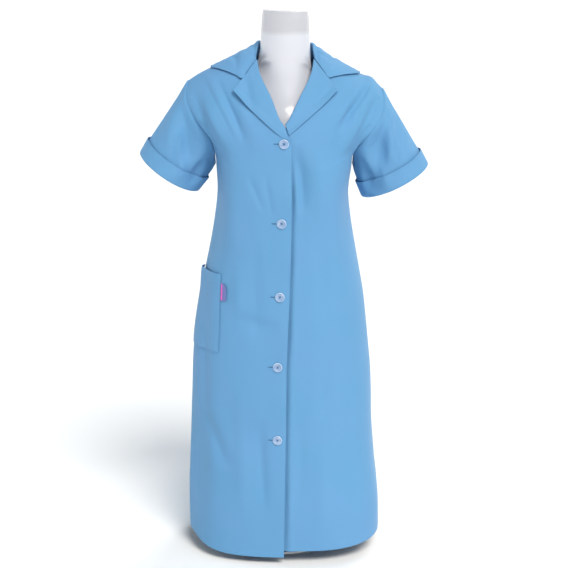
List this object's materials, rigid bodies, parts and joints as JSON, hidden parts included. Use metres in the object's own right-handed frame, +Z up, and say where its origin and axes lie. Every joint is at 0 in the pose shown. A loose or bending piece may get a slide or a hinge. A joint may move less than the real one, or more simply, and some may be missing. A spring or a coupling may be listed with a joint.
{
  "type": "housecoat on a dress form",
  "caption": "Short-sleeved, button-front housecoat with a notched collar and a patch pocket, worn by a limbless dress form on a round base.",
  "frame": {"origin": "on the floor under the middle of the object's box, at the base plate's underside", "axes": "+Z up along the neck; -Y is the buttoned front; -X is the wearer's right, the side of the pocket"},
  "size_m": [0.6387, 0.3233, 1.2275],
  "materials": {
    "blue_cloth": "plain woven, matt",
    "pink_ribbon": "woven ribbon",
    "button_shell": "pearly gloss",
    "form_white": "gloss",
    "stand_steel": "satin"
  },
  "bodies": {
    "root": {"front_right": "blue_cloth", "front_left": "blue_cloth", "back": "blue_cloth", "lapel_right": "blue_cloth", "lapel_left": "blue_cloth", "collar": "blue_cloth", "sleeve_right": "blue_cloth", "sleeve_left": "blue_cloth", "cuff_right": "blue_cloth", "cuff_left": "blue_cloth", "pocket": "blue_cloth", "label": "pink_ribbon", "button_1": "button_shell", "button_2": "button_shell", "button_3": "button_shell", "button_4": "button_shell", "button_5": "button_shell", "dress_form": "form_white", "stand_flange": "stand_steel", "stand_pole": "stand_steel", "stand_base": "stand_steel"}
  },
  "joints": []
}
